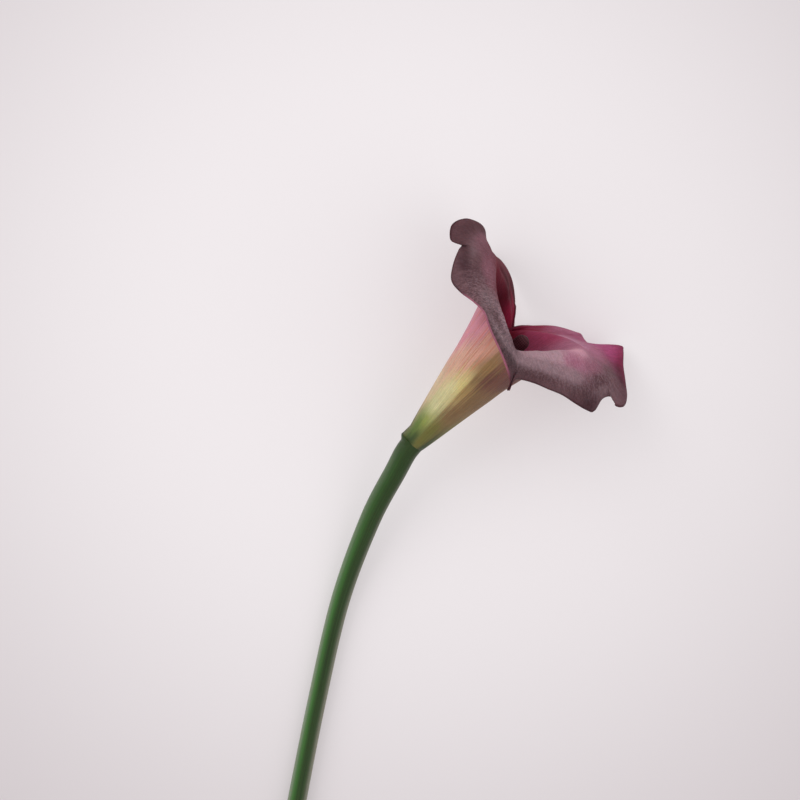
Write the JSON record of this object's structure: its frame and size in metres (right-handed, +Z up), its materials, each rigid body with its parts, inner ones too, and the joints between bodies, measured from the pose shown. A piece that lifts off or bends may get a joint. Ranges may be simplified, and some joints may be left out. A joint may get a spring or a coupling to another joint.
{
  "type": "calla lily flower",
  "caption": "Single cut calla bloom lying on its side: curved stalk, rolled and flared spathe with a pointed tail, and a spadix in its throat.",
  "frame": {"origin": "bottom centre of the whole flower's box, on the surface that it lies on", "axes": "+Y runs from the cut end of the stem to the bloom, +Z is up from the surface, +X is to the right seen from above with the bloom away from you"},
  "size_m": [0.1558, 0.2995, 0.0962],
  "materials": {
    "stem": "smooth waxy green plant tissue",
    "spathe": "velvety burgundy petal tissue, green and salmon on the tube",
    "spadix": "fine-grained matt maroon"
  },
  "bodies": {
    "root": {"stem": "stem", "spathe": "spathe", "spadix": "spadix"}
  },
  "joints": []
}
